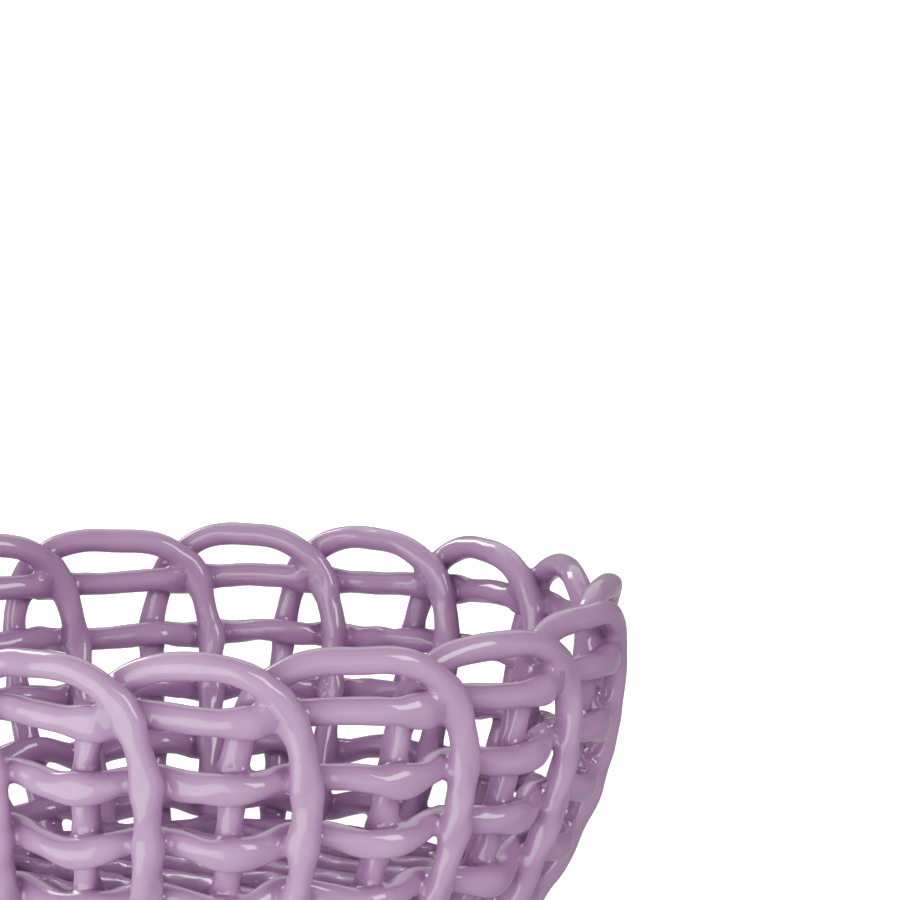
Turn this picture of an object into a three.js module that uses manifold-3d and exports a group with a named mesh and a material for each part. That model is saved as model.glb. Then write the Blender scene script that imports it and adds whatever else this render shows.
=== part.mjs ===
// A round, open basket of glazed clay strands, in millimetres, +Z up, front towards -Y.
// Sixteen arched strands stand round the rim. Each one starts at the floor ring, climbs the inside of the wall,
// arches over the rim beside its neighbours and comes down the outside of the wall to the foot ring.
// Rings of the same strand lie between the inside legs and the outside legs.
// The floor ring lies on the foot ring, and the floor inside them is two layers of straight strands,
// laid across each other.
// All strands follow one bowl surface: "depth" is the length along it from the crowns down to the floor,
// "turn" is the angle round the axis from the front, and "lift off" is the distance out from the surface.
import * as THREE from "three";
import { mergeVertices } from "three/addons/utils/BufferGeometryUtils.js";
import Module from "manifold-3d";

const wasm = await Module();
wasm.setup();

// Driving dimensions: strand and joints
const STRAND = 7.4; // diameter of a rolled strand
const LUTE = 0.3; // joint left between two strands that meet
const NOTCH_EASE = 0.5; // extra half gap where two neighbouring arches cross at the rim

// Driving dimensions: bowl surface
const HEIGHT = 102; // table to the top of an even crown
const RIM_RADIUS = 111; // axis to the middle of a crown
const BELLY_DROP = 10; // crown middle down to the widest level of the wall
const WALL_ARC = 131; // radius of the wall's curve
const HEEL_ARC = 14; // radius where the wall turns into the floor

// Driving dimensions: arches
const ARCHES = 16; // arches round the rim
const FIRST_CROWN = -5.3; // degrees from the front to the crown of the first arch
const HALF_SPAN = 0.72; // half the width of an arch, in steps from crown to crown
const SPRING = 48; // depth at which the two legs of an arch stop spreading
const SQUARENESS = 2.95; // exponent of the arch's outline: 2 is an ellipse, more is flatter on top
const PASS_OVER = 0.62; // share of the half width at which a strand has passed fully in or out

// Driving dimensions: rings, floor and foot
const WALL_RINGS = 5; // rings between the rim and the foot ring
const FIRST_RING = 13; // depth of the top ring
const RING_STEP = 17.6; // depth from one wall ring to the next
const RING_SAG = 1.1; // how far a ring hangs down where it bulges over an inside leg
const FLOOR_STRANDS = 9; // straight strands in each of the two floor layers
const FLOOR_EDGE = 18.5; // middle of the foot ring in to the middle of the outermost floor strand
const FLOOR_TURN = 48; // degrees from the front to the way that the upper floor strands run
const FOOT_STRAND = 9; // diameter of the stouter strand of the foot ring
const FOOT_FLAT = 0.5; // depth ground off the foot ring where it stands

// Hand-set irregularities, arch by arch: degrees that a notch and millimetres that a crown is off its even place
const HOLD_DEPTH = 30; // depth down to which a notch that is off its place takes its legs with it in full
const NOTCH_TURN = [1.2, 1.6, 0.9, 1.5, 0.3, 1.2, 0.6, 0.2, -1, -0.2, 0, 0.8, 1.8, 3.2, 5, 3.6];
const CROWN_LIFT = [-1.3, -1.3, -2, -0.7, 0.7, -0.3, 0.2, 0.3, 0.6, -0.5, 1.3, 0.6, 0, -0.4, -0.9, -1.6];

// Facets
const ARCH_SIDES = 6;
const ARCH_STEPS = 34;
const RING_SIDES = 6;
const FOOT_SIDES = 10;
const RING_STEPS = 6 * ARCHES;
const FOOT_STEPS = 3 * ARCHES;

// Worked out from the driving dimensions
const STRAND_RADIUS = STRAND / 2;
const CROSSING = STRAND + LUTE; // between the middles of two strands that cross
const LEG_OFF = CROSSING / 2 + NOTCH_EASE; // lift off of a leg where the weave is even
const STEP = (2 * Math.PI) / ARCHES;
const CROWN_Z = HEIGHT - STRAND_RADIUS;
const BELLY_Z = CROWN_Z - BELLY_DROP;
const FOOT_Z = FOOT_STRAND / 2 - FOOT_FLAT;
const FLOOR_Z = FOOT_STRAND - FOOT_FLAT - STRAND_RADIUS; // middle of the lower floor strands
const HEEL_Z = FLOOR_Z + HEEL_ARC;
const WALL_CENTRE = RIM_RADIUS - Math.sqrt(WALL_ARC ** 2 - BELLY_DROP ** 2);
const HEEL_ANGLE = Math.asin((BELLY_Z - HEEL_Z) / (WALL_ARC - HEEL_ARC));
const FOOT_RADIUS = WALL_CENTRE + (WALL_ARC - HEEL_ARC) * Math.cos(HEEL_ANGLE);
const BELLY_DEPTH = WALL_ARC * Math.asin(BELLY_DROP / WALL_ARC);
const WALL_DEPTH = BELLY_DEPTH + WALL_ARC * HEEL_ANGLE;
const FOOT_DEPTH = WALL_DEPTH + HEEL_ARC * (Math.PI / 2 - HEEL_ANGLE);
const LAST_RING = FIRST_RING + (WALL_RINGS - 1) * RING_STEP;
const TIP_AWAY = STRAND_RADIUS * Math.cos(Math.PI / FOOT_SIDES) + LUTE; // middle of the floor ring to a leg's tip
const TIP_TURN = 2 * Math.asin(TIP_AWAY / (2 * (HEEL_ARC - CROSSING))); // the same as an angle of the heel
const TIP_DEPTH = FOOT_DEPTH - HEEL_ARC * TIP_TURN;
const LEG_END_DEPTH = FOOT_DEPTH - FOOT_STRAND / 2 - LUTE;
const TUCK_DEPTH = LAST_RING + STRAND_RADIUS; // where an outside leg starts to turn in under the last ring
const FACET_RADIUS = FOOT_RADIUS * Math.cos(Math.PI / FOOT_STEPS); // to the middle of a facet of the two rings
const UPPER_REACH = FACET_RADIUS - STRAND_RADIUS - LUTE; // radius inside which the upper floor strands end
const LOWER_REACH = FACET_RADIUS - FOOT_STRAND / 2 - LUTE; // and the lower ones
const FLOOR_PITCH = (2 * (FOOT_RADIUS - FLOOR_EDGE)) / (FLOOR_STRANDS - 1); // between two strands of one layer

// Radius, height and outward slope of the bowl surface at a depth
function bowlAt(depth) {
  if (depth <= WALL_DEPTH) {
    const angle = (depth - BELLY_DEPTH) / WALL_ARC;
    return { radius: WALL_CENTRE + WALL_ARC * Math.cos(angle), z: BELLY_Z - WALL_ARC * Math.sin(angle), angle };
  }
  if (depth <= FOOT_DEPTH) {
    const angle = HEEL_ANGLE + (depth - WALL_DEPTH) / HEEL_ARC;
    return { radius: FOOT_RADIUS + HEEL_ARC * Math.cos(angle), z: HEEL_Z - HEEL_ARC * Math.sin(angle), angle };
  }
  return { radius: FOOT_RADIUS - (depth - FOOT_DEPTH), z: FLOOR_Z, angle: Math.PI / 2 };
}

// Smooth blend round the rim of one hand-set value per arch
function handSet(values, steps) {
  let sum = 0;
  for (let arch = 0; arch < ARCHES; arch++) {
    const away = Math.abs(THREE.MathUtils.euclideanModulo(steps - arch + ARCHES / 2, ARCHES) - ARCHES / 2);
    const share = away < 1 ? Math.cos((Math.PI / 2) * away) ** 2 : 0;
    sum += share * values[arch % values.length];
  }
  return sum;
}

// Point at an even turn (in steps from the first crown), a depth and a lift off; hands' marks fade towards the foot
function place(steps, depth, liftOff, target) {
  const { radius, z, angle } = bowlAt(depth);
  const fade = THREE.MathUtils.clamp(1 - depth / FOOT_DEPTH, 0, 1);
  const held = 1 - THREE.MathUtils.smoothstep(depth, HOLD_DEPTH, FOOT_DEPTH);
  const shift = THREE.MathUtils.degToRad(FIRST_CROWN + handSet(NOTCH_TURN, steps - 0.5) * held);
  const turn = steps * STEP + shift;
  const out = radius + liftOff * Math.cos(angle);
  const up = z - liftOff * Math.sin(angle) + handSet(CROWN_LIFT, steps) * fade;
  return target.set(out * Math.sin(turn), -out * Math.cos(turn), up);
}

// How far a ring swings in and out at a depth: even on the wall, none beside the foot ring
function ringSwing(depth) {
  const down = THREE.MathUtils.clamp((depth - LAST_RING) / (LEG_END_DEPTH - LAST_RING), 0, 1);
  return (CROSSING - LEG_OFF) * (1 - down ** 2);
}

// Half the width of an arch, in steps, at a depth
function halfSpanAt(depth) {
  const rise = THREE.MathUtils.clamp(1 - depth / SPRING, 0, 1);
  return HALF_SPAN * (1 - rise ** SQUARENESS) ** (1 / SQUARENESS);
}

// Middle line of one arched strand: tip at the floor ring, inside leg, arch, outside leg, foot ring
class ArchPath extends THREE.Curve {
  constructor(arch) {
    super();
    this.arch = arch;
    this.arcLengthDivisions = 1000;
  }

  getPoint(t, target = new THREE.Vector3()) {
    const inside = TIP_DEPTH - SPRING;
    const over = 2 * SPRING;
    const along = t * (inside + over + LEG_END_DEPTH - SPRING);
    if (along < inside) return this.at(-1, TIP_DEPTH - along, target);
    if (along > inside + over) return this.at(1, SPRING + along - inside - over, target);
    const swing = Math.PI * ((along - inside) / over - 0.5);
    const side = Math.sign(swing) * Math.abs(Math.sin(swing)) ** (2 / SQUARENESS);
    const depth = SPRING * (1 - Math.abs(Math.cos(swing)) ** (2 / SQUARENESS));
    return this.at(side, depth, target);
  }

  // side runs from -1 on the inside leg to 1 on the outside leg
  at(side, depth, target) {
    const pass = Math.sin((Math.PI / 2) * THREE.MathUtils.clamp(side / PASS_OVER, -1, 1));
    const tuck = side > 0 ? THREE.MathUtils.smoothstep(depth, TUCK_DEPTH, LEG_END_DEPTH) : 0;
    const liftOff = pass * (CROSSING - ringSwing(depth)) * (1 - tuck);
    return place(this.arch + side * HALF_SPAN, depth, liftOff, target);
  }
}

// Middle line of one wall ring: out and a little down over each inside leg, in behind each outside leg.
// It is one strand whose two ends meet behind an outside leg.
class RingPath extends THREE.Curve {
  constructor(depth) {
    super();
    this.depth = depth;
    this.swing = ringSwing(depth);
    this.legAway = halfSpanAt(depth) - 0.5; // steps from a notch to the legs on either side of it
    this.joint = LUTE / (bowlAt(depth).radius * STEP);
  }

  // A whole wave runs from one outside leg, out over the next inside leg, to the next outside leg
  getPoint(t, target = new THREE.Vector3()) {
    const waves = this.joint / 2 + t * (ARCHES - this.joint);
    const wave = Math.floor(waves);
    const phase = waves - wave;
    const legAway = this.legAway;
    const toInside = legAway + (1 - 2 * legAway) * 2 * phase;
    const toOutside = 1 - legAway + 2 * legAway * (2 * phase - 1);
    const fromNotch = phase < 0.5 ? toInside : toOutside;
    const inward = Math.cos(2 * Math.PI * phase);
    const sag = (RING_SAG * (1 - inward)) / 2;
    return place(0.5 + wave + fromNotch, this.depth + sag, -this.swing * inward, target);
  }

  // Points are taken evenly along the waves, so that they fall on the crossings
  getUtoTmapping(u) {
    return u;
  }
}

// Middle line of the foot ring or the floor ring, also one strand with its ends brought together
class LevelPath extends THREE.Curve {
  constructor(z) {
    super();
    this.z = z;
  }

  getPoint(t, target = new THREE.Vector3()) {
    const gap = LUTE / FOOT_RADIUS;
    const turn = gap / 2 + t * (2 * Math.PI - gap);
    return target.set(FOOT_RADIUS * Math.sin(turn), -FOOT_RADIUS * Math.cos(turn), this.z);
  }
}

// Middle lines of one layer of straight floor strands, all along one turn and inside a radius
function floorLines(turn, reach, z) {
  const along = new THREE.Vector3(Math.sin(turn), -Math.cos(turn), 0);
  const across = new THREE.Vector3(Math.cos(turn), Math.sin(turn), 0);
  return Array.from({ length: FLOOR_STRANDS }, (_, index) => {
    const off = (index - (FLOOR_STRANDS - 1) / 2) * FLOOR_PITCH;
    const half = Math.sqrt(reach ** 2 - (Math.abs(off) + STRAND_RADIUS) ** 2);
    const middle = across.clone().multiplyScalar(off).setZ(z);
    const start = middle.clone().addScaledVector(along, -half);
    return new THREE.LineCurve3(start, middle.clone().addScaledVector(along, half));
  });
}

function strand(path, radius, sides, steps) {
  const section = new THREE.Shape();
  section.absarc(0, 0, radius, 0, 2 * Math.PI);
  return new THREE.ExtrudeGeometry(section, { steps, curveSegments: sides / 2, extrudePath: path });
}

function toSolid(geometry) {
  const bare = geometry.clone();
  bare.deleteAttribute("normal");
  bare.deleteAttribute("uv");
  const merged = mergeVertices(bare, 1e-4);
  const vertProperties = Float32Array.from(merged.attributes.position.array);
  const triVerts = Uint32Array.from(merged.index.array);
  return new wasm.Manifold(new wasm.Mesh({ numProp: 3, vertProperties, triVerts }));
}

function toGeometry(solid) {
  const mesh = solid.getMesh();
  const geometry = new THREE.BufferGeometry();
  geometry.setAttribute("position", new THREE.BufferAttribute(mesh.vertProperties, 3));
  geometry.setIndex(new THREE.BufferAttribute(mesh.triVerts, 1));
  geometry.computeVertexNormals();
  return geometry;
}

const basket = new THREE.Group();
const glaze = { color: 0xb294b8, roughness: 0.2, metalness: 0 };

function add(name, geometry) {
  const mesh = new THREE.Mesh(geometry, new THREE.MeshStandardMaterial(glaze));
  mesh.name = name;
  basket.add(mesh);
}

const number = (index) => String(index + 1).padStart(2, "0");

// Arches
const archPaths = Array.from({ length: ARCHES }, (_, arch) => new ArchPath(arch));
archPaths.forEach((path, arch) => {
  add(`arch_strand_${number(arch)}`, strand(path, STRAND_RADIUS, ARCH_SIDES, ARCH_STEPS));
});

// Wall rings; the top one is pressed in where the spreading legs crowd it
const seats = archPaths.map((path) => toSolid(strand(path, STRAND_RADIUS + LUTE, ARCH_SIDES, ARCH_STEPS)));
for (let ring = 0; ring < WALL_RINGS; ring++) {
  const path = new RingPath(FIRST_RING + ring * RING_STEP);
  let geometry = strand(path, STRAND_RADIUS, RING_SIDES, RING_STEPS);
  if (ring === 0) {
    const pressed = seats.reduce((solid, seat) => solid.subtract(seat), toSolid(geometry));
    geometry = toGeometry(pressed);
  }
  add(`wall_ring_${ring + 1}`, geometry);
}

// Foot ring, ground flat where it stands
const table = new THREE.BoxGeometry(3 * FOOT_RADIUS, 3 * FOOT_RADIUS, FOOT_STRAND);
table.translate(0, 0, -FOOT_STRAND / 2);
const foot = strand(new LevelPath(FOOT_Z), FOOT_STRAND / 2, FOOT_SIDES, FOOT_STEPS);
add("foot_ring", toGeometry(toSolid(foot).subtract(toSolid(table))));

// Floor: a ring on the foot ring, a lower layer inside the foot ring and an upper layer inside the floor ring
const upperZ = FLOOR_Z + CROSSING;
add("floor_ring", strand(new LevelPath(upperZ), STRAND_RADIUS, FOOT_SIDES, FOOT_STEPS));
const upperTurn = THREE.MathUtils.degToRad(FLOOR_TURN);
floorLines(upperTurn + Math.PI / 2, LOWER_REACH, FLOOR_Z).forEach((line, index) => {
  add(`lower_floor_strand_${index + 1}`, strand(line, STRAND_RADIUS, FOOT_SIDES, 1));
});
floorLines(upperTurn, UPPER_REACH, upperZ).forEach((line, index) => {
  add(`upper_floor_strand_${index + 1}`, strand(line, STRAND_RADIUS, FOOT_SIDES, 1));
});

export default basket;
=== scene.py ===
"""A round, open basket of rolled clay strands under a glossy lilac glaze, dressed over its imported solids.

Sizes are in millimetres, +Z up, front towards -Y, and become metres when a mesh is written.
All strands follow one bowl surface: depth is the length along it from the crowns down to the floor,
turn is the angle round the axis from the front, and lift off is the distance out from the surface.
"""

import math

import bpy
import numpy as np
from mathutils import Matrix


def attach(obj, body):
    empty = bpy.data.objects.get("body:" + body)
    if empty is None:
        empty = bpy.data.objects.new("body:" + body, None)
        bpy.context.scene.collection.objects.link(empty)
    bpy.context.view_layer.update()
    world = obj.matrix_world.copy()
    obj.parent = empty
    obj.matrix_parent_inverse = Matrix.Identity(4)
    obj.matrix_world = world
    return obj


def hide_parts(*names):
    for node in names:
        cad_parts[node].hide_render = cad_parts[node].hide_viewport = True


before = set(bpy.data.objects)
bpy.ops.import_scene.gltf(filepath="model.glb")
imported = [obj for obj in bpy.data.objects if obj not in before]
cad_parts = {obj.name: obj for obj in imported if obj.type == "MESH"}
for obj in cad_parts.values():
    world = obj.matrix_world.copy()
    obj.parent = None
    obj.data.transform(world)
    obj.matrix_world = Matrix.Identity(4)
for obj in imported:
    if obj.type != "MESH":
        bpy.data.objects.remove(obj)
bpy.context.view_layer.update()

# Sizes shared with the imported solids
STRAND = 7.4
HEIGHT = 102.0
RIM_RADIUS = 111.0
BELLY_DROP = 10.0
WALL_ARC = 131.0
HEEL_ARC = 14.0
ARCHES = 16
FIRST_CROWN = -5.3
HALF_SPAN = 0.72
SPRING = 48.0
SQUARENESS = 2.95
PASS_OVER = 0.62
RING_DEPTH = np.array([13.0, 30.4, 47.6, 65.7, 84.2])
FLOOR_STRANDS = 9
FLOOR_EDGE = 18.5
FLOOR_TURN = 48.0
FOOT_STRAND = 9.0
FOOT_FLAT = 0.5
HOLD_DEPTH = 30.0
NOTCH_TURN = np.array([1.2, 1.6, 0.9, 1.5, 0.3, 1.2, 0.6, 0.2,
                       -1.0, -0.2, 0.0, 0.8, 1.8, 3.2, 5.0, 3.6])
CROWN_LIFT = np.array([-1.3, -1.3, -2.0, -0.7, 0.7, -0.3, 0.2, 0.3,
                       0.6, -0.5, 1.3, 0.6, 0.0, -0.4, -0.9, -1.6])

# What the fired and glazed strands have beyond the solids
GLAZED_STRAND = 7.6     # strand with its glaze
GLAZED_FOOT = 9.1       # foot strand with its glaze
PRESSED_CROSSING = 6.5  # between the middles of two strands pressed together
PRESSED_LEG_OFF = 3.45  # lift off of a leg where the weave is even
LUTE_REACH = 2.3        # how near another strand draws the glaze into a fillet
RING_SAG = 1.1          # how far a ring hangs down where it bulges over an inside leg
RING_STRAY = 0.45       # uneven height of a ring
RADIUS_STRAY = 0.12     # uneven thickness of a strand
OVAL_STRAY = 0.2        # uneven ovalness of a strand
LUMP_STRAY = 0.13       # finger marks along a strand
SHIFT_STRAY = 0.22      # finger marks that push a strand aside
SMOOTH_CROWN = 0.35     # share of these marks that is left on the crowns
CROSSING_SPREAD = 0.85  # how much wider a strand is where it is pressed on another
SPREAD_REACH = 7.0      # length along a strand over which it spreads to either side of a crossing
LEG_SINK = 3.0          # length of a leg that runs into the foot ring or the floor ring
FLOOR_STRAY = 0.5       # how far a floor strand wanders off its straight line
FLOOR_SINK = 3.5        # length of a floor strand's end that runs into what it meets
# Clearance over which the painted crease shade fades out along with the pooled glaze
POOL_AND_SHADE_FADE = 2.2         # clearance over which the pooled glaze by a joint thins out

# Colours of the glaze and the bare clay, and how far the dark colour by the joints takes over: pooled glaze
# and painted crease shade
GLAZE_DEEP = (0.33, 0.203, 0.331, 1)
GLAZE_PALE = (0.38, 0.24, 0.381, 1)
# Dark colour by the joints: pooled glaze and painted crease shade
GLAZE_POOLED_AND_SHADED = (0.18, 0.095, 0.19, 1)
BARE_CLAY = (0.72, 0.66, 0.6, 1)
POOL_AND_SHADE_SHARE = 0.55

# Seeds of the uneven hand work
ARCH_SEED = 100
RING_SEED = 200
FOOT_SEED = 300
FLOOR_RING_SEED = 301
RING_STRAY_SEED = 500
FLOOR_STRAY_SEED = 600
LOWER_FLOOR_SEED = 700
UPPER_FLOOR_SEED = 800

# Fineness of the meshes
STRAND_SPACING = 0.9
STRAND_SIDES = 32
CAP_STEPS = 7

# Worked out from the sizes
STEP = 2 * np.pi / ARCHES
CROWN_Z = HEIGHT - STRAND / 2
BELLY_Z = CROWN_Z - BELLY_DROP
FOOT_Z = FOOT_STRAND / 2 - FOOT_FLAT
FLOOR_Z = FOOT_STRAND - FOOT_FLAT - STRAND / 2
HEEL_Z = FLOOR_Z + HEEL_ARC
WALL_CENTRE = RIM_RADIUS - math.sqrt(WALL_ARC ** 2 - BELLY_DROP ** 2)
HEEL_ANGLE = math.asin((BELLY_Z - HEEL_Z) / (WALL_ARC - HEEL_ARC))
FOOT_RADIUS = WALL_CENTRE + (WALL_ARC - HEEL_ARC) * math.cos(HEEL_ANGLE)
BELLY_DEPTH = WALL_ARC * math.asin(BELLY_DROP / WALL_ARC)
WALL_DEPTH = BELLY_DEPTH + WALL_ARC * HEEL_ANGLE
FOOT_DEPTH = WALL_DEPTH + HEEL_ARC * (math.pi / 2 - HEEL_ANGLE)
LAST_RING = RING_DEPTH[-1]
TIP_DEPTH = FOOT_DEPTH - HEEL_ARC * STRAND / 2 / (HEEL_ARC - PRESSED_CROSSING)
LEG_END_DEPTH = FOOT_DEPTH - FOOT_STRAND / 2
TUCK_DEPTH = LAST_RING + STRAND / 2
FLOOR_PITCH = 2 * (FOOT_RADIUS - FLOOR_EDGE) / (FLOOR_STRANDS - 1)
UPPER_REACH = FOOT_RADIUS - STRAND / 2
LOWER_REACH = FOOT_RADIUS - FOOT_STRAND / 2


def smooth(low, high, value):
    """Ease from 0 at low to 1 at high: 3 x squared less 2 x cubed."""
    x = np.clip((value - low) / (high - low), 0, 1)
    return x * x * (3 - 2 * x)


def bowl_at(depth):
    """Radius, height and slope: a large arc down the wall, a small arc at the heel, then the flat floor."""
    wall = (depth - BELLY_DEPTH) / WALL_ARC
    heel = HEEL_ANGLE + (depth - WALL_DEPTH) / HEEL_ARC
    on_wall = depth <= WALL_DEPTH
    on_heel = depth <= FOOT_DEPTH
    angle = np.where(on_wall, wall, np.where(on_heel, heel, np.pi / 2))
    wall_radius = WALL_CENTRE + WALL_ARC * np.cos(angle)
    heel_radius = FOOT_RADIUS + HEEL_ARC * np.cos(angle)
    floor_radius = FOOT_RADIUS - (depth - FOOT_DEPTH)
    radius = np.where(on_wall, wall_radius, np.where(on_heel, heel_radius, floor_radius))
    wall_z = BELLY_Z - WALL_ARC * np.sin(angle)
    heel_z = HEEL_Z - HEEL_ARC * np.sin(angle)
    z = np.where(on_wall, wall_z, np.where(on_heel, heel_z, FLOOR_Z))
    return radius, z, angle


def hand_set(values, steps):
    """Blend of one given value per arch, with a squared cosine that reaches one arch to either side."""
    half = ARCHES / 2
    away = np.abs(np.mod(steps[:, None] - np.arange(ARCHES) + half, ARCHES) - half)
    return np.where(away < 1, np.cos(np.pi / 2 * away) ** 2, 0) @ values


def place(steps, depth, lift_off):
    """Points at a turn in steps, a depth and a lift off, and the outward direction of the bowl there."""
    radius, z, angle = bowl_at(depth)
    fade = np.clip(1 - depth / FOOT_DEPTH, 0, 1)
    held = 1 - smooth(HOLD_DEPTH, FOOT_DEPTH, depth)
    turn = steps * STEP + np.radians(FIRST_CROWN + hand_set(NOTCH_TURN, steps - 0.5) * held)
    out = radius + lift_off * np.cos(angle)
    up = z - lift_off * np.sin(angle) + hand_set(CROWN_LIFT, steps) * fade
    points = np.stack([out * np.sin(turn), -out * np.cos(turn), up], axis=1)
    slope = np.cos(angle)
    outward = np.stack([slope * np.sin(turn), -slope * np.cos(turn), -np.sin(angle)], axis=1)
    return points, outward


def ring_swing(depth):
    """How far a ring swings in and out: even on the wall, fading by the square of the way to the foot."""
    down = np.clip((depth - LAST_RING) / (LEG_END_DEPTH - LAST_RING), 0, 1)
    return (PRESSED_CROSSING - PRESSED_LEG_OFF) * (1 - down ** 2)


def half_span_at(depth):
    """Half the width of an arch, in steps: a superellipse down to the spring, then constant."""
    rise = np.clip(1 - depth / SPRING, 0, 1)
    return HALF_SPAN * (1 - rise ** SQUARENESS) ** (1 / SQUARENESS)


def arch_course(arch):
    """Dense middle line of one arched strand: floor tip, inside leg, arch, outside leg, foot.

    Over the rim, side = |sin|^(2/q) and depth = spring (1 - |cos|^(2/q)), and the lift off follows
    the sine of side over the share at which the strand has passed fully in or out."""
    swing = np.linspace(-np.pi / 2, np.pi / 2, 12001)
    power = 2 / SQUARENESS
    arch_side = np.sign(swing) * np.abs(np.sin(swing)) ** power
    arch_depth = SPRING * (1 - np.abs(np.cos(swing)) ** power)
    inside = np.linspace(TIP_DEPTH + LEG_SINK, SPRING, 2000, endpoint=False)
    outside = np.linspace(SPRING, LEG_END_DEPTH + LEG_SINK, 2000)[1:]
    side = np.concatenate([np.full(inside.size, -1.0), arch_side, np.full(outside.size, 1.0)])
    depth = np.concatenate([inside, arch_depth, outside])
    across = np.sin(np.pi / 2 * np.clip(side / PASS_OVER, -1, 1))
    tuck = np.where(side > 0, smooth(TUCK_DEPTH, LEG_END_DEPTH, depth), 0)
    lift_off = across * (PRESSED_CROSSING - ring_swing(depth)) * (1 - tuck)
    return place(arch + side * HALF_SPAN, depth, lift_off)


def ring_course(ring, rng):
    """Dense middle line of one wall ring, closed: out over each inside leg, in behind each outside leg.

    The lift off is a cosine wave from outside leg to outside leg, and the ring sags by half a cosine
    wave where it is furthest out."""
    depth = RING_DEPTH[ring]
    swing = ring_swing(depth)
    leg_away = half_span_at(depth) - 0.5
    waves = np.linspace(0, ARCHES, 12801)
    wave = np.floor(waves)
    phase = waves - wave
    to_inside = leg_away + (1 - 2 * leg_away) * 2 * phase
    to_outside = 1 - leg_away + 2 * leg_away * (2 * phase - 1)
    steps = 0.5 + wave + np.where(phase < 0.5, to_inside, to_outside)
    lift_off = -swing * np.cos(2 * np.pi * phase)
    sag = RING_SAG * (0.5 - 0.5 * np.cos(2 * np.pi * phase)) * swing / ring_swing(0.0)
    stray = RING_STRAY * closed_waves(waves / ARCHES, (3, 5, 9, 14, 23), rng)
    return place(steps, depth + sag + stray, lift_off)


def level_course(z):
    """Dense middle line of the foot ring or floor ring, a level circle; its outward direction is down."""
    turn = np.linspace(0, 2 * np.pi, 4001)
    points = FOOT_RADIUS * np.stack([np.sin(turn), -np.cos(turn), np.zeros(turn.size)], axis=1)
    points[:, 2] = z
    return points, np.tile([0.0, 0.0, -1.0], (turn.size, 1))


def floor_course(index, turn, reach, z, rng):
    """Dense middle line of one floor strand: a chord of the circle of that reach, with a slow stray aside."""
    off = (index - (FLOOR_STRANDS - 1) / 2) * FLOOR_PITCH
    half = math.sqrt(reach ** 2 - (abs(off) + STRAND / 2) ** 2) + FLOOR_SINK
    run = np.linspace(-half, half, 2001)
    aside = off + FLOOR_STRAY * closed_waves(run / (4 * half), (1, 2, 3), rng)
    along, across = (math.sin(turn), -math.cos(turn)), (math.cos(turn), math.sin(turn))
    x = run * along[0] + aside * across[0]
    y = run * along[1] + aside * across[1]
    return np.stack([x, y, np.full(run.size, z)], axis=1), np.tile([0.0, 0.0, -1.0], (run.size, 1))


def closed_waves(share, counts, rng):
    """Sum of sines in whole numbers of waves with random phases, of about unit size; share is 0 to 1."""
    counts = np.array(counts, float)
    weights = rng.uniform(0.6, 1.0, counts.size) / math.sqrt(counts.size / 2)
    phases = rng.uniform(0, 2 * np.pi, counts.size)
    return np.sin(2 * np.pi * np.outer(share, counts) + phases) @ weights


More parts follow.
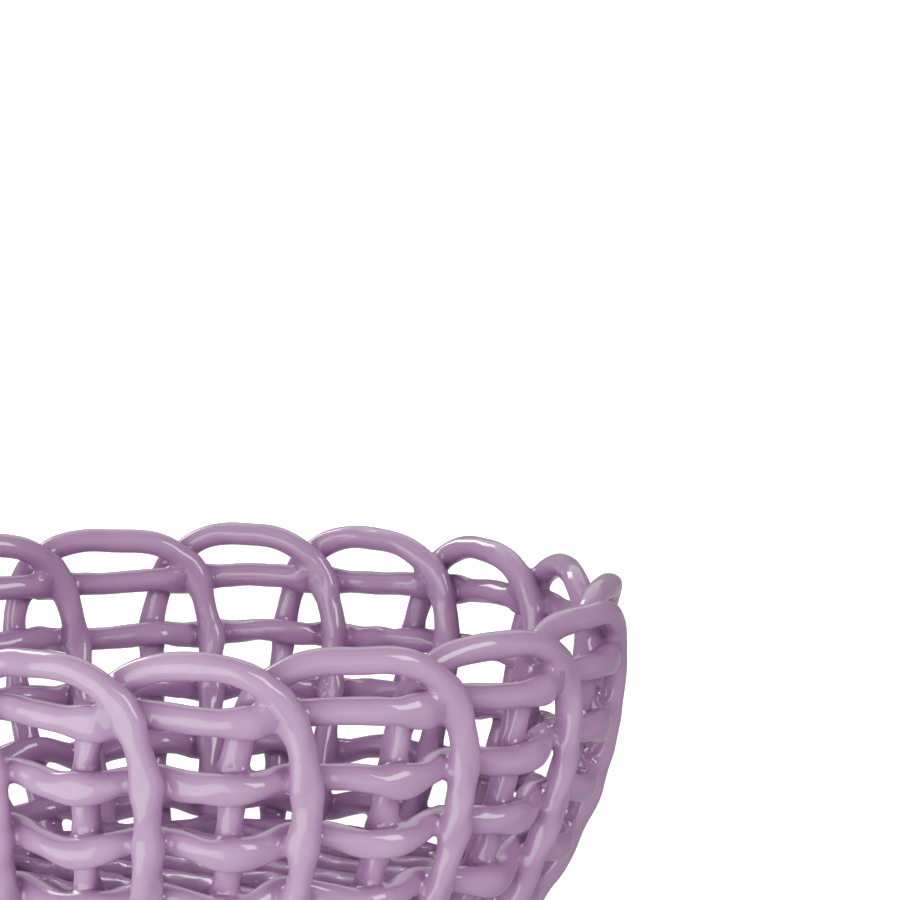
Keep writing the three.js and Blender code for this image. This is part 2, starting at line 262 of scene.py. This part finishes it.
class Strand:
    """One strand: a middle line with a section carried along it.

    At each place the section's radius is a sum over the angle round the strand:
    mean + sum of cosine and sine terms of order 1 to 3, so it is round, oval or three-cornered by turns."""

    def __init__(self, name, course, diameter, closed, seed):
        self.name = name
        self.closed = closed
        self.rng = np.random.default_rng(seed)
        points, outward = course
        run = np.concatenate([[0], np.cumsum(np.linalg.norm(np.diff(points, axis=0), axis=1))])
        self.length = run[-1]
        self.at = self.stations(diameter / 2)
        self.middle = np.stack([np.interp(self.at, run, points[:, i]) for i in range(3)], axis=1)
        out = np.stack([np.interp(self.at, run, outward[:, i]) for i in range(3)], axis=1)
        along = self.slope(self.middle)
        self.along = along / np.linalg.norm(along, axis=1, keepdims=True)
        out -= np.sum(out * self.along, axis=1, keepdims=True) * self.along
        self.out = out / np.linalg.norm(out, axis=1, keepdims=True)
        self.across = np.cross(self.along, self.out)
        self.shape_section(diameter / 2)

    def stations(self, radius):
        """Places along the strand: even on a closed one, with rounded ends on an open one."""
        if self.closed:
            count = int(round(self.length / STRAND_SPACING))
            return np.arange(count) * self.length / count
        cap = radius * (1 - np.cos(np.linspace(0, np.pi / 2, CAP_STEPS + 1)))
        count = int(round((self.length - 2 * radius) / STRAND_SPACING))
        body = np.linspace(radius, self.length - radius, count)[1:-1]
        return np.concatenate([cap, body, self.length - cap[::-1]])

    def slope(self, values):
        """Change of values along the strand, per millimetre."""
        if not self.closed:
            return np.gradient(values, self.at, axis=0)
        return (np.roll(values, -1, axis=0) - np.roll(values, 1, axis=0)) / (2 * self.length / len(values))

    def waves(self, *lengths):
        """Uneven course along the strand, of about unit size, from waves of about the given lengths."""
        counts = [max(1, round(self.length / length)) for length in lengths]
        return closed_waves(self.at / self.length, counts, self.rng)

    def shape_section(self, radius):
        """Uneven thickness, ovalness and finger marks, fainter near the rim."""
        marks = SMOOTH_CROWN + (1 - SMOOTH_CROWN) * smooth(12, 32, CROWN_Z - self.middle[:, 2])
        self.terms = np.zeros((len(self.at), 7))
        self.terms[:, 0] = radius + marks * RADIUS_STRAY * self.waves(95, 61, 37, 23)
        self.terms[:, 2] = marks * SHIFT_STRAY * self.waves(53, 31, 19)
        self.terms[:, 3] = marks * OVAL_STRAY * self.waves(83, 47, 29, 17)
        self.terms[:, 4] = marks * OVAL_STRAY * self.waves(71, 43, 27, 19)
        self.terms[:, 5] = marks * LUMP_STRAY * self.waves(41, 23, 13)
        self.terms[:, 6] = marks * LUMP_STRAY * self.waves(37, 19, 11)
        self.cap = np.ones(len(self.at))
        if not self.closed:
            end = np.minimum(self.at, self.length - self.at)
            self.cap = np.sqrt(1 - (1 - np.clip(end / radius, 0, 1)) ** 2)

    def spread_at_crossings(self, others):
        """Make the strand wider and flatter where it lies on another: a squared cosine to either side."""
        nearest = nearest_station(self.middle, others["middle"])
        gap = np.linalg.norm(self.middle - others["middle"][nearest], axis=1)
        away = np.sqrt(np.maximum(gap ** 2 - PRESSED_CROSSING ** 2, 0))
        pressed = np.cos(np.pi / 2 * np.clip(away / SPREAD_REACH, 0, 1)) ** 2
        pressed *= 1 + 0.3 * self.waves(47, 29)
        self.terms[:, 0] += CROSSING_SPREAD * (0.35 * pressed - 0.2)
        self.terms[:, 3] -= 0.6 * CROSSING_SPREAD * pressed

    def surface(self):
        """Grid of surface points and of the directions in which they stand off the middle line."""
        angle = np.arange(STRAND_SIDES) * 2 * np.pi / STRAND_SIDES
        ray = self.out[:, None] * np.cos(angle)[:, None] + self.across[:, None] * np.sin(angle)[:, None]
        reach = section_radius(self.terms[:, None], angle) * self.cap[:, None]
        return self.middle[:, None] + ray * reach[..., None], ray


def section_radius(terms, angle):
    """Radius of a section at an angle, from its seven terms."""
    orders = np.arange(1, 4)
    turns = orders * angle[..., None]
    swell = terms[..., 1::2] * np.cos(turns) + terms[..., 2::2] * np.sin(turns)
    return terms[..., 0] + np.sum(swell, axis=-1)


def gather(strands):
    """The stations of several strands in one set of arrays."""
    keys = ("middle", "along", "out", "across", "terms")
    return {key: np.concatenate([getattr(strand, key) for strand in strands]) for key in keys}


def nearest_station(points, stations, chunk=4000):
    """Index of the nearest station to each point, worked out in chunks."""
    stations = stations.astype(np.float32)
    square = np.sum(stations ** 2, axis=1)
    index = np.empty(len(points), int)
    for start in range(0, len(points), chunk):
        part = points[start:start + chunk].astype(np.float32)
        far = square - 2 * part @ stations.T
        index[start:start + chunk] = np.argmin(far, axis=1)
    return index


def fillet(clearance, facing, reach):
    """How far a surface is drawn out into the fillet with another at a clearance from it.

    This is the polynomial smooth minimum of the two distances, solved for the way out along the
    surface's own normal; facing is the cosine between the two normals. Past the crease, where both
    meet at reach / 4, the surface goes on straight and so dips under the other."""
    turn = np.clip(1 - facing, 0.05, 1.9)
    near = reach - np.clip(clearance, 0, reach)
    root = np.sqrt(np.maximum(reach ** 2 - reach * turn * near, 0))
    drawn = (2 * reach - turn * near - 2 * root) / turn ** 2
    crease = turn * reach / 4
    beyond = np.clip(crease - clearance, 0, reach / 2)
    straight = reach / 4 + beyond / np.maximum(2 - turn, 0.5)
    return np.where(clearance >= reach, 0, np.where(clearance > crease, drawn, straight))


def lute(points, ray, others):
    """Way out into the fillets with other strands, and the clearance from the nearest of them."""
    index = nearest_station(points, others["middle"])
    away = points - others["middle"][index]
    along = others["along"][index]
    away = away - np.sum(away * along, axis=1, keepdims=True) * along
    distance = np.maximum(np.linalg.norm(away, axis=1), 1e-6)
    aside = np.sum(away * others["across"][index], axis=1)
    outwards = np.sum(away * others["out"][index], axis=1)
    angle = np.arctan2(aside, outwards)
    clearance = distance - section_radius(others["terms"][index], angle)
    facing = np.sum(ray * away, axis=1) / distance
    return fillet(clearance, facing, LUTE_REACH), clearance


def write_mesh(name, grid, closed_along, pool_and_shade):
    """A mesh from a grid of points, closed round its second index and along or capped over its first.

    Each cap is one pole point: the first and last rows of an open grid are a single place."""
    rows, sides = grid.shape[:2]
    points, pool_and_shade = grid.reshape(-1, 3) / 1000, pool_and_shade.ravel()
    corner = np.arange(rows * sides).reshape(rows, sides)
    caps = []
    if closed_along:
        here, ahead = corner, np.roll(corner, -1, axis=0)
    else:
        kept = np.ones((rows, sides), bool)
        kept[[0, -1], 1:] = False
        points, pool_and_shade = points[kept.ravel()], pool_and_shade[kept.ravel()]
        corner = (np.cumsum(kept) - 1).reshape(rows, sides)
        here, ahead = corner[1:-2], corner[2:-1]
        first, last = corner[1], corner[-2]
        caps += np.stack([np.full(sides, corner[0, 0]), np.roll(first, -1), first], axis=1).tolist()
        caps += np.stack([np.full(sides, corner[-1, 0]), last, np.roll(last, -1)], axis=1).tolist()
    quads = np.stack([here, np.roll(here, -1, axis=1), np.roll(ahead, -1, axis=1), ahead], axis=-1)
    mesh = bpy.data.meshes.new(name)
    mesh.from_pydata(points.tolist(), [], quads.reshape(-1, 4).tolist() + caps)
    mesh.polygons.foreach_set("use_smooth", np.ones(len(mesh.polygons), bool))
    # Per-point share of pooled glaze and painted crease shade, 1 in the creases between strands
    mesh.attributes.new("glaze_pool_and_crease_shade", "FLOAT", "POINT").data.foreach_set("value", pool_and_shade.astype(np.float32))
    mesh.update()
    piece = bpy.data.objects.new(name + "_glazed", mesh)
    bpy.context.scene.collection.objects.link(piece)
    return piece


def settle(piece, node, material):
    """Give a piece its material and let it stand for its solid."""
    piece.data.materials.append(material)
    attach(piece, "root")
    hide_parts(node)


def pool_and_shade_depth(clearance):
    """Share of pooled glaze and painted crease shade near a joint: 1 in the crease, falling off over a few
    millimetres.
    """
    return np.exp(-np.maximum(clearance, 0) / POOL_AND_SHADE_FADE)


def dress(strand, groups, material, ground=False):
    """Work out a strand's glazed surface, drawn into fillets with each group of other strands."""
    grid, ray = strand.surface()
    points, rays = grid.reshape(-1, 3), ray.reshape(-1, 3)
    drawn = np.zeros(len(points))
    clear = np.full(len(points), 99.0)
    for group in groups:
        way, clearance = lute(points, rays, group)
        drawn += way
        clear = np.minimum(clear, clearance)
    drawn *= np.repeat(strand.cap, STRAND_SIDES)
    points = points + rays * drawn[:, None]
    if ground:
        points[:, 2] = np.maximum(points[:, 2], 0)
    # Painted crease shade: the colour darkens near other strands, along with the pooled glaze
    pool_and_shade = pool_and_shade_depth(clear).reshape(grid.shape[:2])
    piece = write_mesh(strand.name, points.reshape(grid.shape), strand.closed, pool_and_shade)
    settle(piece, strand.name, material)


def node_maker(material):
    """Function that adds a node to a material and sets some of its sockets or properties."""
    tree = material.node_tree

    def make(kind, sockets=None, **properties):
        node = tree.nodes.new(kind)
        for key, value in properties.items():
            setattr(node, key, value)
        for key, value in (sockets or {}).items():
            node.inputs[key].default_value = value
        return node

    return make, tree.links.new


def glaze_material(name, dry_foot):
    """Glossy lilac glaze: paler where it runs thin, deeper by the joints where it pools and where crease
    shade is painted in, with a soft ripple on it.
    """
    material = bpy.data.materials.new(name)
    material.use_nodes = True
    material.node_tree.nodes.clear()
    make, link = node_maker(material)
    output = make("ShaderNodeOutputMaterial")
    shader = make("ShaderNodeBsdfPrincipled", {"IOR": 1.56})
    link(shader.outputs["BSDF"], output.inputs["Surface"])
    place_on = make("ShaderNodeTexCoord")
    drift = make("ShaderNodeTexNoise", {"Scale": 38.0, "Detail": 3.0, "Roughness": 0.5})
    link(place_on.outputs["Object"], drift.inputs["Vector"])
    tone = make("ShaderNodeValToRGB")
    tone.color_ramp.elements[0].position = 0.3
    tone.color_ramp.elements[0].color = GLAZE_DEEP
    tone.color_ramp.elements[1].position = 0.72
    tone.color_ramp.elements[1].color = GLAZE_PALE
    link(drift.outputs["Fac"], tone.inputs["Fac"])
    pool_and_shade = make("ShaderNodeAttribute", attribute_name="glaze_pool_and_crease_shade")
    # Mix towards the dark colour by the joints: pooled glaze and painted crease shade
    pooled_and_shaded = make("ShaderNodeMix", data_type="RGBA")
    pool_and_shade_mix = make("ShaderNodeMath", {1: POOL_AND_SHADE_SHARE}, operation="MULTIPLY")
    link(pool_and_shade.outputs["Fac"], pool_and_shade_mix.inputs[0])
    link(pool_and_shade_mix.outputs[0], pooled_and_shaded.inputs["Factor"])
    link(tone.outputs["Color"], pooled_and_shaded.inputs[6])
    pooled_and_shaded.inputs[7].default_value = GLAZE_POOLED_AND_SHADED
    link(pooled_and_shaded.outputs[2], shader.inputs["Base Color"])
    wear = make("ShaderNodeTexNoise", {"Scale": 90.0, "Detail": 2.0})
    link(place_on.outputs["Object"], wear.inputs["Vector"])
    gloss = make("ShaderNodeMapRange", {"From Min": 0.3, "From Max": 0.7, "To Min": 0.05, "To Max": 0.11})
    link(wear.outputs["Fac"], gloss.inputs["Value"])
    link(gloss.outputs["Result"], shader.inputs["Roughness"])
    ripple = make("ShaderNodeTexNoise", {"Scale": 120.0, "Detail": 2.0, "Roughness": 0.4})
    link(place_on.outputs["Object"], ripple.inputs["Vector"])
    bump = make("ShaderNodeBump", {"Strength": 0.4, "Distance": 0.0008})
    link(ripple.outputs["Fac"], bump.inputs["Height"])
    link(bump.outputs["Normal"], shader.inputs["Normal"])
    if dry_foot:
        foot_height = make("ShaderNodeSeparateXYZ")
        link(place_on.outputs["Object"], foot_height.inputs["Vector"])
        bare = make("ShaderNodeMapRange", {
            "From Min": 0.0002, "From Max": 0.0006, "To Min": 1.0, "To Max": 0.0})
        link(foot_height.outputs["Z"], bare.inputs["Value"])
        clay = make("ShaderNodeMix", data_type="RGBA")
        clay.inputs[7].default_value = BARE_CLAY
        link(bare.outputs["Result"], clay.inputs["Factor"])
        link(pooled_and_shaded.outputs[2], clay.inputs[6])
        link(clay.outputs[2], shader.inputs["Base Color"])
        matt = make("ShaderNodeMix", data_type="FLOAT")
        matt.inputs[3].default_value = 0.75
        link(bare.outputs["Result"], matt.inputs["Factor"])
        link(gloss.outputs["Result"], matt.inputs[2])
        link(matt.outputs[0], shader.inputs["Roughness"])
    return material


# The glazed basket
glaze = glaze_material("lilac_glaze_gloss", False)
foot_glaze = glaze_material("lilac_glaze_dry_foot", True)

arches = [Strand(f"arch_strand_{i + 1:02d}", arch_course(i), GLAZED_STRAND, False, ARCH_SEED + i)
          for i in range(ARCHES)]
ring_rng = np.random.default_rng(RING_STRAY_SEED)
rings = [Strand(f"wall_ring_{i + 1}", ring_course(i, ring_rng), GLAZED_STRAND, True, RING_SEED + i)
         for i in range(len(RING_DEPTH))]
upper_z = FLOOR_Z + PRESSED_CROSSING
foot_ring = Strand("foot_ring", level_course(FOOT_Z), GLAZED_FOOT, True, FOOT_SEED)
floor_ring = Strand("floor_ring", level_course(upper_z), GLAZED_STRAND, True, FLOOR_RING_SEED)
floor_rng = np.random.default_rng(FLOOR_STRAY_SEED)
upper_turn = math.radians(FLOOR_TURN)


def floor_layer(name, turn, reach, z, seed):
    """The strands of one layer of the floor."""
    courses = [floor_course(i, turn, reach, z, floor_rng) for i in range(FLOOR_STRANDS)]
    return [Strand(f"{name}_{i + 1}", course, GLAZED_STRAND, False, seed + i)
            for i, course in enumerate(courses)]


lower_turn = upper_turn + math.pi / 2
lower_floor = floor_layer("lower_floor_strand", lower_turn, LOWER_REACH, FLOOR_Z, LOWER_FLOOR_SEED)
upper_floor = floor_layer("upper_floor_strand", upper_turn, UPPER_REACH, upper_z, UPPER_FLOOR_SEED)

hoops = rings + [foot_ring, floor_ring]
climbing = np.concatenate([strand.at < strand.length / 2 for strand in arches])
inside_legs = {key: values[climbing] for key, values in gather(arches).items()}
for strand in rings:
    strand.spread_at_crossings(inside_legs)
for strand in arches:
    strand.spread_at_crossings(gather(hoops))
for strand in upper_floor:
    strand.spread_at_crossings(gather(lower_floor))
all_arches, all_hoops = gather(arches), gather(hoops)
all_lower, all_upper = gather(lower_floor), gather(upper_floor)

for i, strand in enumerate(arches):
    beside = gather([arches[i - 1], arches[(i + 1) % ARCHES]])
    dress(strand, [beside, all_hoops], glaze)
for strand in rings:
    dress(strand, [all_arches], glaze)
on_foot, on_floor = gather([foot_ring]), gather([floor_ring])
dress(foot_ring, [all_arches, on_floor, all_lower], foot_glaze, ground=True)
dress(floor_ring, [all_arches, on_foot, all_upper], glaze)
for strand in lower_floor:
    dress(strand, [all_upper, on_foot], glaze)
for strand in upper_floor:
    dress(strand, [all_lower, on_floor], glaze)

# Camera at the photo's viewing angle
CAMERA_DISTANCE = 908.0
CAMERA_ELEVATION = 9.06
CAMERA_PITCH = -6.557
CAMERA_YAW = 4.320
CAMERA_LENS = 127.72

camera_data = bpy.data.cameras.new("camera")
camera_data.sensor_width = 36
camera_data.lens = CAMERA_LENS
camera = bpy.data.objects.new("camera", camera_data)
bpy.context.scene.collection.objects.link(camera)
rise = math.radians(CAMERA_ELEVATION)
camera_away = CAMERA_DISTANCE * math.cos(rise)
camera_height = CROWN_Z + CAMERA_DISTANCE * math.sin(rise)
camera.location = (0, -camera_away / 1000, camera_height / 1000)
camera.rotation_euler = (math.radians(90 + CAMERA_PITCH), 0, math.radians(-CAMERA_YAW))
bpy.context.scene.camera = camera


LIGHT_AIM = 0.07  # height of the point that the lights face, in metres


def soft_light(name, azimuth, elevation, distance, width, height, radiance):
    """Rectangular light that faces the basket from a direction; its power gives it a set radiance.

    Azimuth and elevation are in degrees, azimuth from the front; distance, width and height in metres."""
    data = bpy.data.lights.new(name, "AREA")
    data.shape = "RECTANGLE"
    data.size, data.size_y = width, height
    data.energy = radiance * math.pi * width * height
    light = bpy.data.objects.new(name, data)
    light.visible_camera = False
    bpy.context.scene.collection.objects.link(light)
    turn, lift = math.radians(azimuth), math.radians(elevation)
    away = distance * math.cos(lift)
    up = LIGHT_AIM + distance * math.sin(lift)
    light.location = (away * math.sin(turn), -away * math.cos(turn), up)
    light.rotation_euler = (math.radians(90 - elevation), 0, math.radians(azimuth))
    return light


soft_light("key_left", -44, -6, 2.2, 3.6, 2.6, 2.7)
soft_light("small_right", 42, 28, 1.6, 0.5, 0.9, 7.5)
soft_light("high_back", 190, 48, 2.2, 2.8, 1.6, 1.0)
soft_light("small_back", 214, 34, 1.6, 0.45, 0.8, 6.0)
back_fill = soft_light("back_fill", 180, 8, 2.2, 3.8, 2.4, 2.0)
back_fill.visible_glossy = False


# Surroundings: brightness at heights of the direction, from straight down at 0 to straight up at 1
FRONT_BELT = ((0.1, 0.5), (0.3, 0.8), (0.42, 1.1), (0.5, 1.05), (0.6, 0.75), (0.8, 0.45), (1.0, 0.45))
BACK_BELT = ((0.3, 0.45), (0.44, 0.4), (0.52, 0.2), (0.7, 0.25), (0.82, 0.5), (1.0, 0.45))


def studio_world():
    """White surroundings: a broad bright belt in front, dimmer behind, overhead, underneath and at right."""
    world = bpy.data.worlds.new("studio_white")
    world.use_nodes = True
    nodes, link = world.node_tree.nodes, world.node_tree.links.new
    direction = nodes.new("ShaderNodeTexCoord")
    parts = nodes.new("ShaderNodeSeparateXYZ")
    link(direction.outputs["Generated"], parts.inputs["Vector"])

    def ease(axis, start, end, first, last):
        """Value that runs from first to last while one part of the direction runs from start to end."""
        node = nodes.new("ShaderNodeMapRange")
        for key, value in zip(("From Min", "From Max", "To Min", "To Max"), (start, end, first, last)):
            node.inputs[key].default_value = value
        link(parts.outputs[axis], node.inputs["Value"])
        return node.outputs["Result"]

    def belt(stops):
        """Brightness over the height of the direction."""
        ramp = nodes.new("ShaderNodeValToRGB")
        link(ease("Z", -1, 1, 0, 1), ramp.inputs["Fac"])
        while len(ramp.color_ramp.elements) < len(stops):
            ramp.color_ramp.elements.new(0.5)
        for element, (position, level) in zip(ramp.color_ramp.elements, stops):
            element.position = position
            element.color = (level, level, level, 1)
        return ramp.outputs["Color"]

    both = nodes.new("ShaderNodeMix")
    both.data_type = "RGBA"
    link(ease("Y", -0.2, 0.4, 0, 1), both.inputs["Factor"])
    link(belt(FRONT_BELT), both.inputs[6])
    link(belt(BACK_BELT), both.inputs[7])
    link(both.outputs[2], nodes["Background"].inputs["Color"])
    link(ease("X", 0.3, 0.9, 1.08, 0.52), nodes["Background"].inputs["Strength"])
    bpy.context.scene.world = world


studio_world()


# Tone curve: linear light in, linear light out
TONE_STOPS = ((0.1, 0.086), (0.2, 0.197), (0.33, 0.33), (0.45, 0.428), (0.6, 0.53), (0.8, 0.645))


def photographic_tone():
    """Tone curve of a studio photograph: even in the middle tones, a little deeper in the dark ones and
    held back in the bright ones, with white left white."""
    view = bpy.context.scene.view_settings
    view.view_transform = "Standard"
    view.use_curve_mapping = True
    for light_in, light_out in TONE_STOPS:
        view.curve_mapping.curves[3].points.new(light_in, light_out)
    view.curve_mapping.update()


photographic_tone()

# Floor and backdrop
DOME_RADIUS = 6.0  # in metres, and half the side of the floor


def studio_paper():
    """White paper that glows a little, so that it stays white where the light is weak."""
    paper = bpy.data.materials.new("studio_paper")
    paper.use_nodes = True
    shader = paper.node_tree.nodes["Principled BSDF"]
    shader.inputs["Base Color"].default_value = (0.6, 0.6, 0.6, 1)
    shader.inputs["Roughness"].default_value = 1.0
    shader.inputs["Specular IOR Level"].default_value = 0.0
    shader.inputs["Emission Color"].default_value = (1, 1, 1, 1)
    shader.inputs["Emission Strength"].default_value = 0.75
    return paper


def stand_stage(name, points, faces, material):
    """Put up a part of the studio that is only a background: it neither lights the basket nor shades it."""
    mesh = bpy.data.meshes.new(name)
    mesh.from_pydata(points.tolist(), [], faces.tolist())
    mesh.materials.append(material)
    stage = bpy.data.objects.new(name, mesh)
    bpy.context.scene.collection.objects.link(stage)
    stage.visible_diffuse = False
    stage.visible_glossy = False
    stage.visible_shadow = False


def dome_surface(turns=48, lifts=16):
    """Half a sphere over the floor, from a grid of turn and lift; the top row is a single place."""
    turn, lift = np.meshgrid(np.arange(turns) * 2 * np.pi / turns, np.linspace(0, np.pi / 2, lifts))
    away = np.cos(lift)
    points = DOME_RADIUS * np.stack([away * np.sin(turn), away * np.cos(turn), np.sin(lift)], axis=-1)
    corner = np.arange(turns * lifts).reshape(lifts, turns)
    here, beside = corner[:-1], np.roll(corner, -1, axis=1)[:-1]
    above, above_beside = corner[1:], np.roll(corner, -1, axis=1)[1:]
    return points.reshape(-1, 3), np.stack([here, beside, above_beside, above], axis=-1).reshape(-1, 4)


paper = studio_paper()
floor_corners = DOME_RADIUS * np.array([(-1, -1, 0), (1, -1, 0), (1, 1, 0), (-1, 1, 0)])
stand_stage("studio_floor", floor_corners, np.array([(0, 1, 2, 3)]), paper)
stand_stage("studio_dome", *dome_surface(), paper)
